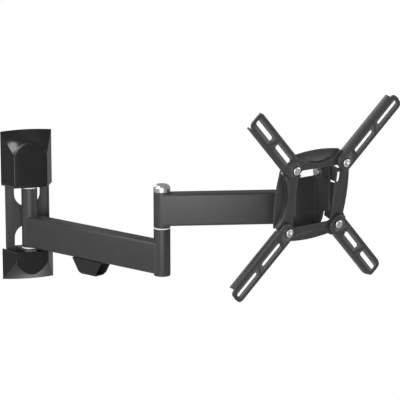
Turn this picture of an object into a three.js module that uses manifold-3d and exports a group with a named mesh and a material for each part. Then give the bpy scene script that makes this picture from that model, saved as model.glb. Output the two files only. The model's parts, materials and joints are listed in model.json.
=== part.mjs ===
// Full motion television wall mount: wall plate, two swinging arms, tilting head.
// Millimetres. +Z is up, the wall is the plane Y = 0 and the mount reaches out to -Y.
// The origin is the middle of the solid web of the wall plate, on its wall side.
import * as THREE from 'three';
import { ConvexGeometry } from 'three/addons/geometries/ConvexGeometry.js';
import { mergeVertices } from 'three/addons/utils/BufferGeometryUtils.js';
import Module from 'manifold-3d';

const wasm = await Module();
wasm.setup();

// ---- driving dimensions -------------------------------------------------
const GAP = 0.3;                 // clearance between pieces that touch
const ROUND = 32;                // sides of a pivot tube
const SMALL = 20;                // sides of a small fastener

const PLATE_WIDTH = 54;          // wall plate
const PLATE_HALF_HEIGHT = 85;
const PLATE_SHEET = 2;
const PLATE_FLANGE = 5;
const WINDOW_RADIUS = 16;        // the round ended windows that the ears were cut from
const WEB_TOP = -2;              // solid web between the windows, from the plate's middle
const WEB_BOTTOM = -24.7;
const WEB_MIDDLE = (WEB_TOP + WEB_BOTTOM) / 2;
const EAR_SHEET = 2.5;
const EAR_TIP = 23.4;            // how far the ears stand off the wall

const COVER_HALF_WIDTH = 31.5;   // moulded covers
const COVER_FACE_HALF = 20.5;
const COVER_DEPTH = 26;
const COVER_END = 92;
const COVER_CROWN = 82.5;
const COVER_SPRING = 67;
const COVER_WALL = 2;
const UPPER_COVER_EDGE = 26;
const LOWER_COVER_EDGE = -53.6;

const PIVOT_OUT = 16;            // shoulder axis to the wall
const TUBE_RADIUS = 9.75;
const TUBE_BORE = 7.2;
const BUSH_BORE = 5.35;
const BUSH_LENGTH = 14;
const BOLT_RADIUS = 5;
const SPACER = 1.4;              // nylon spacer washers

const SHOULDER_BOTTOM = -48.6;
const SHOULDER_TOP = 24;
const INNER_LENGTH = 213.5;      // shoulder axis to elbow axis
const OUTER_LENGTH = 149.8;      // elbow axis to head axis
const ARM_WIDTH = 20;
const ARM_HEIGHT = 37.8;
const ARM_WALL = 2;
const ARM_CORNER = 3;
const INNER_MIDDLE = -29.1;      // heights of the arms' centre lines
const OUTER_MIDDLE = 28.7;
const ELBOW_BOTTOM = -50;
const ELBOW_SPLIT = 5.5;
const OUTER_TUBE_BOTTOM = 7.5;
const OUTER_TUBE_TOP = 49;
const CAP_HEIGHT = 9.2;

const REST_SHOULDER = 56;        // degrees from +X towards -Y
const REST_OUTER = 11.1;
const REST_HEAD = 22.25;         // turn of the head about +Z from facing -Y
const REST_TILT = 9;             // the face looks down by this much

const HEAD_OFFSET = 47;          // head axis to the front of the arms' webs
const HEAD_HEIGHT = 47.1;        // middle of the head plate
const TILT_OUT = 28;             // tilt axis, from the head axis
const TILT_UP = 73;
const BRACKET_SHEET = 2.5;
const BRACKET_HALF = 27.5;
const BRACKET_BACK = 10.3;
const BRACKET_FRONT = 37.8;

const VESA_SCREW = 37.5;         // 75 mm square
const STRUT_HALF = 11.5;         // extension arms
const STRUT_SHEET = 1.8;
const STRUT_DEPTH = 8.5;
const STRUT_START = 44.5;        // rounded inner end, from the plate's middle
const STRUT_END = 152.5;
const STRUT_CORNER = 7;
const STRUT_FLANGE_END = 145;
const STRUT_SHALLOW = 4.6;       // flange depth where the arm lies on the head plate
const STRUT_SHALLOW_END = 61;
const SLOTS = [[51, 70], [81.5, 102]];   // end centres, for the 100 and 200 mm patterns
const SLOT_WIDTH = 5.6;
const SCREW_HOLE = 3.4;
const FACE_BACK = 5;             // front of the raised frame behind the arms' webs
const FACE_SHEET = 2;
const LOBE_BACK = 10.4;          // front of the four side lobes
const RIM_HEIGHT = 54.6;         // the plate's outline: four shallow arcs
const RIM_RADIUS = 200;
const RIM_HALF_ANGLE = 9.8;
const CREASE_HEIGHT = 40.8;      // the wall between frame and lobe: an arc the other way
const CREASE_RADIUS = 55;
const CREASE_HALF_ANGLE = 34;
const OPENING_HALF_WIDTH = 30;
const OPENING_HALF_HEIGHT = 34.3;
const BOSS_RADIUS = 6.2;         // seat of each arm screw
const NUT_ROOM = 6;
const NUT_SEAT = 5.5;            // depth at which the nut's room begins
const CHEEK_IN = 29;             // the plate's tilt cheeks
const CHEEK_OUT = 31;
const TILT_HOLE = 4.35;

// ---- finishes -----------------------------------------------------------
const finish = (color, roughness, metalness) =>
  new THREE.MeshStandardMaterial({ color, roughness, metalness });
const powderCoat = finish(0x26272a, 0.55, 0.2);
const glossPlastic = finish(0x101012, 0.2, 0);
const darkPlastic = finish(0x17181a, 0.5, 0);
const chrome = finish(0xd8d8dc, 0.12, 1);
const zinc = finish(0xb4b6b8, 0.35, 1);
const nylon = finish(0xe9e9e6, 0.5, 0);

// ---- solids -------------------------------------------------------------
function solid(geometry) {
  const bare = geometry.index ? geometry.toNonIndexed() : geometry.clone();
  bare.deleteAttribute('normal');
  bare.deleteAttribute('uv');
  const merged = mergeVertices(bare, 1e-4);
  return new wasm.Manifold(new wasm.Mesh({
    numProp: 3,
    vertProperties: new Float32Array(merged.attributes.position.array),
    triVerts: new Uint32Array(merged.index.array),
  }));
}

function geometryOf(body) {
  const mesh = body.getMesh();
  const geometry = new THREE.BufferGeometry();
  geometry.setAttribute('position', new THREE.BufferAttribute(mesh.vertProperties, 3));
  geometry.setIndex(new THREE.BufferAttribute(mesh.triVerts, 1));
  geometry.computeVertexNormals();
  return geometry;
}

const moved = (geometry, x, y, z) => solid(geometry.translate(x, y, z));
const union = (...bodies) => bodies.reduce((a, b) => a.add(b));
const cut = (body, ...tools) => tools.reduce((a, b) => a.subtract(b), body);
const box = (wx, wy, wz, x, y, z) => moved(new THREE.BoxGeometry(wx, wy, wz), x, y, z);

// A round bar along Z from z0 to z1.
function bar(radius, z0, z1, sides = ROUND, x = 0, y = 0) {
  const geometry = new THREE.CylinderGeometry(radius, radius, z1 - z0, sides);
  return moved(geometry.rotateX(Math.PI / 2), x, y, (z0 + z1) / 2);
}

const ring = (outer, inner, z0, z1, sides = ROUND) =>
  bar(outer, z0, z1, sides).subtract(bar(inner, z0 - 1, z1 + 1, sides));

// A flat outline in the XY plane, raised from z0 to z1.
function slab(points, z0, z1) {
  const shape = new THREE.Shape(points.map(([x, y]) => new THREE.Vector2(x, y)));
  const geometry = new THREE.ExtrudeGeometry(shape, { depth: z1 - z0, bevelEnabled: false });
  return moved(geometry, 0, 0, z0);
}

// Points along an arc, both ends included, angles in degrees.
function arc(cx, cy, radius, from, to, steps) {
  return Array.from({ length: steps + 1 }, (_, i) => {
    const angle = THREE.MathUtils.degToRad(from + (to - from) * i / steps);
    return [cx + radius * Math.cos(angle), cy + radius * Math.sin(angle)];
  });
}

function roundedRectangle(halfX, halfY, radius, steps = 4) {
  const x = halfX - radius;
  const y = halfY - radius;
  return [
    ...arc(x, y, radius, 0, 90, steps),
    ...arc(-x, y, radius, 90, 180, steps),
    ...arc(-x, -y, radius, 180, 270, steps),
    ...arc(x, -y, radius, 270, 360, steps),
  ];
}

// A round ended slot of the given end centres.
function slotOutline(x0, y0, x1, y1, width, steps = 6) {
  const along = THREE.MathUtils.radToDeg(Math.atan2(y1 - y0, x1 - x0));
  return [
    ...arc(x1, y1, width / 2, along - 90, along + 90, steps),
    ...arc(x0, y0, width / 2, along + 90, along + 270, steps),
  ];
}

// Stands a body up: the outline's x stays X, its y becomes Z, and its height becomes -Y.
const upright = (body) => body.rotate([90, 0, 0]);

// An outline drawn as (forward, up) becomes a sheet that stands from x0 to x1.
// The outline's x becomes -Y and its y becomes Z.
const sideways = (points, x0, x1) =>
  slab(points, -x1, -x0).rotate([90, 0, 0]).rotate([0, 0, -90]);

function piece(group, name, body, material) {
  const mesh = new THREE.Mesh(geometryOf(body), material.clone());
  mesh.name = name;
  group.add(mesh);
  return mesh;
}

function hexagon(acrossFlats, z0, z1) {
  return bar(acrossFlats / Math.sqrt(3), z0, z1, 6);
}

// ---- wall plate and covers ----------------------------------------------
function windowOutline(round, root, sign) {
  const centre = round + sign * WINDOW_RADIUS;
  const end = arc(0, centre, WINDOW_RADIUS, sign > 0 ? 180 : 0, sign > 0 ? 360 : 180, 14);
  return [...end, [sign * WINDOW_RADIUS, root], [-sign * WINDOW_RADIUS, root]];
}

function wallPlate() {
  const height = 2 * PLATE_HALF_HEIGHT;
  const outline = roundedRectangle(PLATE_WIDTH / 2, PLATE_HALF_HEIGHT, 3);
  const channel = upright(slab(outline, 0, PLATE_FLANGE));
  const hollow = box(PLATE_WIDTH - 2 * PLATE_SHEET, PLATE_FLANGE, height + 2,
    0, -PLATE_SHEET - PLATE_FLANGE / 2, 0);
  const upperRoot = UPPER_COVER_EDGE + GAP;
  const lowerRoot = SHOULDER_BOTTOM - SPACER - 2 * GAP;
  const windows = [
    slab(windowOutline(WEB_TOP, upperRoot, 1), -1, PLATE_FLANGE),
    slab(windowOutline(WEB_BOTTOM, lowerRoot, -1), -1, PLATE_FLANGE),
  ].map(upright);
  const studSlots = [74, 48, -74].map((z) =>
    upright(slab(slotOutline(0, z - 4, 0, z + 4, 8.5), -1, PLATE_FLANGE)));
  const earOutline = [
    [-15.5, 0], [15.5, 0], ...arc(0, -(EAR_TIP - 12), 12, 0, -180, 12),
  ];
  const boltHole = bar(BUSH_BORE, -80, 60, ROUND, 0, -PIVOT_OUT);
  const ears = [[upperRoot, upperRoot + EAR_SHEET], [lowerRoot - EAR_SHEET, lowerRoot]]
    .map(([z0, z1]) => slab(earOutline.slice().reverse(), z0, z1));
  return cut(union(cut(channel, hollow, ...windows), ...ears), boltHole, ...studSlots);
}

// One cover: a hull between its outline on the wall and the arched front face.
function coverHull(halfWidth, faceHalf, depth, end, crown, spring, edge, back) {
  const points = [];
  const arch = 1.5;
  for (const z of [edge, end]) {
    points.push([-halfWidth, back, z], [halfWidth, back, z]);
  }
  for (const x of [-halfWidth / 2, 0, halfWidth / 2]) {
    const rise = arch * (1 - (x / halfWidth) ** 2);
    points.push([x, back, end + Math.sign(end) * rise]);
  }
  points.push([-faceHalf, -depth, edge], [faceHalf, -depth, edge]);
  for (let i = 0; i <= 16; i += 1) {
    const angle = Math.PI * i / 16;
    const z = spring + (crown - spring) * Math.sin(angle);
    points.push([faceHalf * Math.cos(angle), -depth, z]);
  }
  return solid(new ConvexGeometry(points.map((p) => new THREE.Vector3(...p))));
}

function cover(edge) {
  const side = Math.sign(edge);
  const outer = coverHull(COVER_HALF_WIDTH, COVER_FACE_HALF, COVER_DEPTH,
    side * COVER_END, side * COVER_CROWN, side * COVER_SPRING, edge, 0);
  const inner = coverHull(COVER_HALF_WIDTH - COVER_WALL, COVER_FACE_HALF - 1.4,
    COVER_DEPTH - COVER_WALL, side * (COVER_END - COVER_WALL), side * (COVER_CROWN - COVER_WALL),
    side * (COVER_SPRING - 1), edge - side * 5, 1);
  return outer.subtract(inner);
}

// ---- pivots and arms ------------------------------------------------------
// An arm with a pivot tube at each end, lying along +X from the first pivot.
function arm(length, middle, near, far, vents) {
  const section = roundedRectangle(ARM_WIDTH / 2, ARM_HEIGHT / 2, ARM_CORNER);
  const hollow = roundedRectangle(ARM_WIDTH / 2 - ARM_WALL, ARM_HEIGHT / 2 - ARM_WALL, 1.2, 2);
  const along = (outline, x0, x1) =>
    slab(outline, x0, x1).rotate([90, 0, 0]).rotate([0, 0, 90]).translate([0, 0, middle]);
  const tubes = [[0, near], [length, far]];
  const posts = tubes.map(([x, [z0, z1]]) => bar(TUBE_RADIUS, z0, z1, ROUND, x));
  const bores = tubes.map(([x, [z0, z1]]) => bar(TUBE_BORE, z0 - 1, z1 + 1, ROUND, x));
  const box0 = TUBE_RADIUS - 0.5;
  const shell = cut(along(section, 0, length), along(hollow, box0, length - box0));
  const holes = vents.map((x) => bar(3, middle - ARM_HEIGHT / 2 - 1, middle - 10, 12, x));
  return cut(union(shell, ...posts), ...bores, ...holes);
}

const bush = (z0) => ring(TUBE_BORE - GAP, BUSH_BORE, z0, z0 + BUSH_LENGTH);
const spacer = (z0) => ring(TUBE_RADIUS - 0.1, BUSH_BORE, z0, z0 + SPACER);
const nut = (flats, bore, z0, z1) =>
  hexagon(flats, z0, z1).subtract(bar(bore, z0 - 1, z1 + 1, SMALL));

// Hex headed pivot bolt: shank from z0 to z1 and a head above it.
function pivotBolt(z0, z1, headHeight) {
  const flange = bar(7, z1, z1 + 1.2);
  const head = hexagon(11.5, z1 + 1, z1 + headHeight);
  return union(bar(BOLT_RADIUS, z0, z1 + 0.5), flange, head);
}

// The cable holder under the inner arm: a channel with sloping ends.
function cableHolder() {
  const top = INNER_MIDDLE - ARM_HEIGHT / 2 - GAP;
  const bottom = top - 19;
  const wall = 1.8;
  const half = ARM_WIDTH / 2 - 0.2;
  const section = [
    [-half, top], [-half, bottom + 3], [-half + 3, bottom],
    [half - 3, bottom], [half, bottom + 3],
    [half, top - 3], [half - wall, top - 3],
    [half - wall, bottom + 3.6], [half - 3.6, bottom + wall],
    [-half + 3.6, bottom + wall], [-half + wall, bottom + 3.6],
    [-half + wall, top - wall], [3, top - wall], [3, top],
  ];
  const run = slab(section, 70, 135).rotate([90, 0, 0]).rotate([0, 0, 90]);
  const profile = [[78, top + 1], [92, bottom - 1], [114.5, bottom - 1], [127, top + 1]];
  const prism = slab(profile, -30, 30).rotate([90, 0, 0]);
  return run.intersect(prism);
}

// ---- head bracket ---------------------------------------------------------
// Drawn facing -Y, with the head axis on Z.
function headBracket() {
  const webTop = 64;
  const webBottom = 3.2;
  const span = BRACKET_BACK + BRACKET_SHEET;
  const width = 2 * BRACKET_HALF;
  const web = box(width, BRACKET_SHEET, webTop - webBottom,
    0, -(BRACKET_BACK + span) / 2, (webTop + webBottom) / 2);
  const cheekOutline = [
    [BRACKET_BACK, webBottom], [span + 4, webBottom], [24, 14], [27, 24.5],
    [BRACKET_FRONT, 27], ...arc(28.8, 73, 9, 0, 80, 5), ...arc(22.3, 70, 12, 100, 180, 5),
  ];
  const cheeks = [-BRACKET_HALF, BRACKET_HALF - BRACKET_SHEET].map((x) =>
    sideways(cheekOutline, x, x + BRACKET_SHEET));
  const tiltHole = bar(TILT_HOLE, -60, 60, SMALL).rotate([0, 90, 0])
    .translate([0, -TILT_OUT, TILT_UP]);
  const earTop = OUTER_TUBE_TOP + SPACER + 2 * GAP;
  const earBottom = OUTER_TUBE_BOTTOM - SPACER - 2 * GAP;
  const earOutline = [[-11.5, -span + 0.5], [11.5, -span + 0.5], ...arc(0, 0, 11.5, 0, 180, 14)];
  const ears = [[earTop, earTop + EAR_SHEET], [earBottom - EAR_SHEET, earBottom]]
    .map(([z0, z1]) => slab(earOutline, z0, z1));
  const boltHole = bar(BUSH_BORE, -20, 90);
  return cut(union(web, ...cheeks, ...ears), tiltHole, boltHole);
}

// ---- head plate and extension arms ----------------------------------------
// Drawn facing -Y about the plate's middle: x is right, z is up, and y = 0 is
// the front of the extension arms' webs.
const behind = (points, near, far) => upright(slab(points, -far, -near));

const turned = (points, degrees) => {
  const angle = THREE.MathUtils.degToRad(degrees);
  const c = Math.cos(angle);
  const s = Math.sin(angle);
  return points.map(([x, y]) => [x * c - y * s, x * s + y * c]);
};

// The plate's rim on its top side, from right to left.
const rim = () => arc(0, RIM_HEIGHT - RIM_RADIUS, RIM_RADIUS,
  90 - RIM_HALF_ANGLE, 90 + RIM_HALF_ANGLE, 8);

// The crease below the top lobe, from left to right, moved down by `drop`.
const crease = (drop) => arc(0, CREASE_HEIGHT + CREASE_RADIUS - drop, CREASE_RADIUS,
  270 - CREASE_HALF_ANGLE, 270 + CREASE_HALF_ANGLE, 12);

// A plate pressed in two levels: a raised frame round the opening and, behind
// it, one lobe on each side. A wall joins the two along each crease.
function pressedPlate() {
  const turns = [0, 90, 180, 270];
  const whole = turns.flatMap((turn) => turned(rim(), turn));
  const lobeBottom = LOBE_BACK + FACE_SHEET;
  const beyond = [[60, 90], [-60, 90]];
  const outside = (drop) => turns.map((turn) =>
    behind(turned([...beyond, ...crease(drop)], turn), 0, lobeBottom + 1));
  const raised = cut(behind(whole, FACE_BACK, lobeBottom), ...outside(0));
  const hollow = cut(behind(whole, FACE_BACK + FACE_SHEET, lobeBottom + 1),
    ...outside(FACE_SHEET));
  const cornerCut = turns.map((turn) =>
    behind(turned([[24, 60], [60, 24], [80, 80]], turn), FACE_BACK + FACE_SHEET, lobeBottom + 1));
  const lobes = turns.map((turn) =>
    behind(turned([...rim(), ...crease(1)], turn), LOBE_BACK, lobeBottom));
  return union(cut(raised, hollow, ...cornerCut), ...lobes);
}

// Cheek and flange outlines are drawn as (up, back) and stand on edge at x.
const onEdge = (points, x) => slab(points, 0, CHEEK_OUT - CHEEK_IN)
  .rotate([0, -90, 0]).translate([x, 0, 0]);

function facePlate(axisUp, axisBack) {
  const sheetBack = FACE_BACK + FACE_SHEET;
  const root = FACE_BACK + 0.5;
  const opening = roundedRectangle(OPENING_HALF_WIDTH, OPENING_HALF_HEIGHT, 5);
  const notchOut = 35.5;         // relief notches beside the cheeks' folds
  const tabLow = 25.5;
  const tabHigh = 30;
  const reliefs = [
    [[CHEEK_IN, 13], [notchOut, 13], [notchOut, tabLow], [CHEEK_IN, tabLow]],
    ...[-1, 1].map((side) => [
      [side * CHEEK_IN, tabHigh], [side * notchOut, tabHigh],
      [side * 33.5, OPENING_HALF_HEIGHT], [side * 24, OPENING_HALF_HEIGHT],
    ]),
  ].map((outline) => behind(outline, 0, 30));
  const bosses = [];
  const hollows = [];
  for (const x of [-VESA_SCREW, VESA_SCREW]) {
    for (const z of [-VESA_SCREW, VESA_SCREW]) {
      const at = (radius, near, far) => behind(arc(x, z, radius, 0, 345, 23), near, far);
      bosses.push(at(BOSS_RADIUS, STRUT_SHEET + GAP, sheetBack));
      hollows.push(at(NUT_ROOM, NUT_SEAT, 30), at(SCREW_HOLE, -1, 30));
    }
  }
  const knuckle = 9;
  const cheek = [
    [axisUp - knuckle, root], [axisUp + knuckle - 1.5, root],
    ...arc(axisUp, axisBack, knuckle, 0, 180, 12),
  ];
  const flange = [[-33, root], [12, root], [10, 17], [-31.5, 17]];
  const standing = [-CHEEK_IN, CHEEK_OUT].flatMap((x) => [onEdge(cheek, x), onEdge(flange, x)]);
  const tabs = [-1, 1].map((side) => behind([
    [side * (CHEEK_IN - 0.1), tabLow], [side * 36, tabLow],
    [side * 36, tabHigh], [side * (CHEEK_IN - 0.1), tabHigh],
  ], FACE_BACK, sheetBack));
  const tiltHole = bar(TILT_HOLE, -60, 60, SMALL).rotate([0, 90, 0])
    .translate([0, axisBack, axisUp]);
  const sheet = cut(pressedPlate(), behind(opening, 0, 30), ...reliefs);
  return cut(union(sheet, ...bosses, ...tabs, ...standing), ...hollows, tiltHole);
}

// One extension arm along +X from the plate's middle: a pressed channel with
// rounded ends. Its flanges are shallow where it lies on the head plate.
function strut() {
  const outline = (inset) => {
    const low = -STRUT_HALF + STRUT_CORNER;
    const left = STRUT_START + STRUT_CORNER;
    const right = STRUT_END - STRUT_CORNER;
    const radius = STRUT_CORNER - inset;
    return [
      ...arc(right, low, radius, 270, 360, 6), ...arc(right, -low, radius, 0, 90, 6),
      ...arc(left, -low, radius, 90, 180, 6), ...arc(left, low, radius, 180, 270, 6),
    ];
  };
  const tray = behind(outline(0), 0, STRUT_DEPTH);
  const hollow = behind(outline(STRUT_SHEET), STRUT_SHEET, STRUT_DEPTH + 1);
  const endCut = box(40, STRUT_DEPTH, 40,
    STRUT_FLANGE_END + 20, STRUT_SHEET + STRUT_DEPTH / 2, 0);
  const plateRoom = box(40, STRUT_DEPTH, 40,
    STRUT_SHALLOW_END - 20, STRUT_SHALLOW + STRUT_DEPTH / 2, 0);
  const diagonal = (value) => value * Math.SQRT2;
  const slots = SLOTS.map(([a, b]) =>
    behind(slotOutline(diagonal(a), 0, diagonal(b), 0, SLOT_WIDTH), -1, 5));
  const hole = behind(arc(diagonal(VESA_SCREW), 0, SCREW_HOLE, 0, 342, 19), -1, 5);
  return cut(tray, hollow, endCut, plateRoom, ...slots, hole);
}

// Button head screw with a hexagon socket, its head standing on y = 0.
function strutScrew() {
  const head = new THREE.LatheGeometry([[0, 0], [5, 0], [5, 0.8], [3.6, 2.2], [0, 2.4]]
    .map(([r, h]) => new THREE.Vector2(r, h)), SMALL);
  const bodyHead = solid(head.rotateX(Math.PI / 2));
  const socket = hexagon(4, 0.9, 5);
  return cut(union(bodyHead, bar(3, -12, 0.4, SMALL)), socket).rotate([90, 0, 0]);
}

// ---- assembly -------------------------------------------------------------
const mount = new THREE.Group();
const wall = new THREE.Group();
wall.position.z = -WEB_MIDDLE;
mount.add(wall);

piece(wall, 'wall_plate', wallPlate(), powderCoat);
piece(wall, 'upper_cover', cover(UPPER_COVER_EDGE), glossPlastic);
piece(wall, 'lower_cover', cover(LOWER_COVER_EDGE), glossPlastic);

const earTop = UPPER_COVER_EDGE + GAP + EAR_SHEET;
const earBottom = SHOULDER_BOTTOM - SPACER - 2 * GAP - EAR_SHEET;
const shoulder = new THREE.Group();
shoulder.position.y = -PIVOT_OUT;
wall.add(shoulder);
piece(shoulder, 'shoulder_bolt', pivotBolt(earBottom - 12, earTop + GAP, 7), zinc);
piece(shoulder, 'shoulder_nut', nut(13, BUSH_BORE, earBottom - 8.3, earBottom - GAP), zinc);

const innerArm = new THREE.Group();
innerArm.rotation.z = THREE.MathUtils.degToRad(-REST_SHOULDER);
shoulder.add(innerArm);
piece(innerArm, 'inner_arm', arm(INNER_LENGTH, INNER_MIDDLE,
  [SHOULDER_BOTTOM, SHOULDER_TOP], [ELBOW_BOTTOM, ELBOW_SPLIT], [45, 165]), powderCoat);
piece(innerArm, 'shoulder_spacer_top', spacer(SHOULDER_TOP + GAP), nylon);
piece(innerArm, 'shoulder_spacer_bottom', spacer(SHOULDER_BOTTOM - GAP - SPACER), nylon);
piece(innerArm, 'shoulder_bush_top', bush(SHOULDER_TOP - BUSH_LENGTH), nylon);
piece(innerArm, 'shoulder_bush_bottom', bush(SHOULDER_BOTTOM), nylon);
piece(innerArm, 'cable_holder', cableHolder(), darkPlastic);

const elbow = new THREE.Group();
elbow.position.x = INNER_LENGTH;
innerArm.add(elbow);
const capBase = OUTER_TUBE_TOP + GAP;
const capBore = BOLT_RADIUS + GAP + 0.2;
const capProfile = [
  [0, 3], [capBore, 3], [capBore, 0], [TUBE_RADIUS, 0], [TUBE_RADIUS, 5],
  [TUBE_RADIUS - 1.2, 7.2], [TUBE_RADIUS - 3.4, 8.7], [0, CAP_HEIGHT],
].map(([r, h]) => new THREE.Vector2(r, capBase + h));
const capGeometry = new THREE.LatheGeometry(capProfile, ROUND);
piece(elbow, 'elbow_cap', solid(capGeometry.rotateX(Math.PI / 2)), chrome);
piece(elbow, 'elbow_bolt', bar(BOLT_RADIUS, ELBOW_BOTTOM + 2, capBase + 2.7), zinc);
const elbowNut = ring(TUBE_BORE - GAP, BUSH_BORE, ELBOW_BOTTOM + 1, ELBOW_BOTTOM + 9);
piece(elbow, 'elbow_nut', elbowNut, zinc);
piece(elbow, 'elbow_bush_lower', bush(ELBOW_SPLIT - BUSH_LENGTH), nylon);
piece(elbow, 'elbow_spacer', spacer(ELBOW_SPLIT + GAP), nylon);

const outerArm = new THREE.Group();
outerArm.rotation.z = THREE.MathUtils.degToRad(REST_SHOULDER - REST_OUTER);
elbow.add(outerArm);
const outerTube = [OUTER_TUBE_BOTTOM, OUTER_TUBE_TOP];
const outerBody = arm(OUTER_LENGTH, OUTER_MIDDLE, outerTube, outerTube, [40, 110]);
piece(outerArm, 'outer_arm', outerBody, powderCoat);
piece(outerArm, 'elbow_bush_upper', bush(OUTER_TUBE_TOP - BUSH_LENGTH), nylon);

const headAxis = new THREE.Group();
headAxis.position.x = OUTER_LENGTH;
headAxis.rotation.z = THREE.MathUtils.degToRad(REST_OUTER + REST_HEAD);
outerArm.add(headAxis);
piece(headAxis, 'head_bush_top', bush(OUTER_TUBE_TOP - BUSH_LENGTH), nylon);
piece(headAxis, 'head_bush_bottom', bush(OUTER_TUBE_BOTTOM), nylon);
piece(headAxis, 'head_spacer_top', spacer(OUTER_TUBE_TOP + GAP), nylon);
piece(headAxis, 'head_spacer_bottom', spacer(OUTER_TUBE_BOTTOM - GAP - SPACER), nylon);
const headEarTop = OUTER_TUBE_TOP + SPACER + 2 * GAP + EAR_SHEET;
const headEarBottom = OUTER_TUBE_BOTTOM - SPACER - 2 * GAP - EAR_SHEET;
piece(headAxis, 'head_bolt', pivotBolt(headEarBottom - 9, headEarTop + GAP, 6), zinc);
piece(headAxis, 'head_nut', nut(14, BUSH_BORE, headEarBottom - 7, headEarBottom - GAP), zinc);
piece(headAxis, 'head_bracket', headBracket(), powderCoat);

const tiltAxis = new THREE.Group();
tiltAxis.position.set(0, -TILT_OUT, TILT_UP);
headAxis.add(tiltAxis);
const across = (body, side) => body.rotate([0, 90 * side, 0]);
for (const [side, label] of [[-1, 'left'], [1, 'right']]) {
  const bracketOut = BRACKET_HALF + GAP;
  const bracketIn = BRACKET_HALF - BRACKET_SHEET - GAP;
  const boltBody = union(bar(4, 12, 31.6, SMALL), bar(7, 31.3, 34.6, SMALL));
  piece(tiltAxis, `tilt_bolt_${label}`, across(boltBody, side), zinc);
  const tiltNut = nut(12.5, TILT_HOLE, 16.4, 22.6);
  const washer = ring(7.8, TILT_HOLE, bracketIn - 1.6, bracketIn, SMALL);
  const disc = ring(8, TILT_HOLE, bracketOut, CHEEK_IN - GAP, SMALL);
  piece(tiltAxis, `tilt_nut_${label}`, across(tiltNut, side), powderCoat);
  piece(tiltAxis, `tilt_washer_${label}`, across(washer, side), powderCoat);
  piece(tiltAxis, `tilt_friction_disc_${label}`, across(disc, side), nylon);
}

const tilt = new THREE.Group();
tilt.rotation.x = THREE.MathUtils.degToRad(REST_TILT);
tiltAxis.add(tilt);
const tiltAngle = THREE.MathUtils.degToRad(REST_TILT);
const forward = HEAD_OFFSET - TILT_OUT;
const lower = TILT_UP - HEAD_HEIGHT;
const faceForward = forward * Math.cos(tiltAngle) + lower * Math.sin(tiltAngle);
const faceDown = lower * Math.cos(tiltAngle) - forward * Math.sin(tiltAngle);
const face = new THREE.Group();
face.position.set(0, -faceForward, -faceDown);
tilt.add(face);
piece(face, 'vesa_plate', facePlate(faceDown, faceForward), powderCoat);

const cornersOfFace = [
  ['upper_right', 45], ['upper_left', 135], ['lower_left', 225], ['lower_right', 315],
];
for (const [label, degrees] of cornersOfFace) {
  const corner = new THREE.Group();
  corner.rotation.y = -THREE.MathUtils.degToRad(degrees);
  face.add(corner);
  piece(corner, `extension_arm_${label}`, strut(), powderCoat);
  const screwX = VESA_SCREW * Math.SQRT2;
  piece(corner, `arm_screw_${label}`, strutScrew().translate([screwX, -GAP, 0]), zinc);
  const lockNut = nut(9.8, 3.35, 0, 4.6).rotate([90, 0, 0])
    .translate([screwX, NUT_SEAT + GAP + 4.6, 0]);
  piece(corner, `arm_nut_${label}`, lockNut, zinc);
}

export default mount;
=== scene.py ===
# %% [markdown]
# # A full motion television wall mount
# The mount has a wall plate under two moulded covers, two steel arms that swing one on the other,
# and a head that turns and tilts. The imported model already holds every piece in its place, so this
# lesson loads it first, and then makes the surfaces that show, in metres, in the same frame.

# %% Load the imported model
import json
import bmesh
import bpy
import numpy as np
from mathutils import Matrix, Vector


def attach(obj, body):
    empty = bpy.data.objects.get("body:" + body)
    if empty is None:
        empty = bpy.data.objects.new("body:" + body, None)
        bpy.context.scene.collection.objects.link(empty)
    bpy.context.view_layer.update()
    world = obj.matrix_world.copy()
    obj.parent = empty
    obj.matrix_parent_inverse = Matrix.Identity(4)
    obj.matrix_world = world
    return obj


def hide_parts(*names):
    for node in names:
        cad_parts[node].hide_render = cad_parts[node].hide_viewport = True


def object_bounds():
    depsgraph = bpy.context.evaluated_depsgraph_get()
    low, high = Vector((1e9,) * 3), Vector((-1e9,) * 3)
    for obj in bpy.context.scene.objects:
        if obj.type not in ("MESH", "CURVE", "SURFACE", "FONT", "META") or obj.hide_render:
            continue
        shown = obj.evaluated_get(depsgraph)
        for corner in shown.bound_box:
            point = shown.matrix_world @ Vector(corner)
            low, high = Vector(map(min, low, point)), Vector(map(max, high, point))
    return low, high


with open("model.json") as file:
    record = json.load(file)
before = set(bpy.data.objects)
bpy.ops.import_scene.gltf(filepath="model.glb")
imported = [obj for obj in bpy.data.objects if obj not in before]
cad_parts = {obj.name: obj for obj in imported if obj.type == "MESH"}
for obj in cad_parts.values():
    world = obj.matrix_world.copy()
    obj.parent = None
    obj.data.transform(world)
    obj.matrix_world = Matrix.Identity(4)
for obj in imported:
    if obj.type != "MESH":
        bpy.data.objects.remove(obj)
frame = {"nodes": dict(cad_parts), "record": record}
cad_box = [list(corner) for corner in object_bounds()]

# %% [markdown]
# ## The frames that the pieces are drawn in
# Each piece is easiest to draw about its own pivot: an arm along its length, the head facing forward.
# A frame is a four by four matrix that carries such a drawing, in millimetres, to its place. One frame
# stands on another, as the real pieces do: wall, shoulder, inner arm, elbow, outer arm, head, face.

# %% Frames
MM = 0.001


def shift(x, y, z):
    """A move by (x, y, z)."""
    matrix = np.eye(4)
    matrix[:3, 3] = x, y, z
    return matrix


def turn(axis, degrees):
    """A turn about the axis x, y or z: the two other axes mix by the cosine and sine of the angle."""
    matrix = np.eye(4)
    first, second = {"x": (1, 2), "y": (2, 0), "z": (0, 1)}[axis]
    c, s = np.cos(np.radians(degrees)), np.sin(np.radians(degrees))
    matrix[first, first], matrix[second, second] = c, c
    matrix[first, second], matrix[second, first] = -s, s
    return matrix


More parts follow.
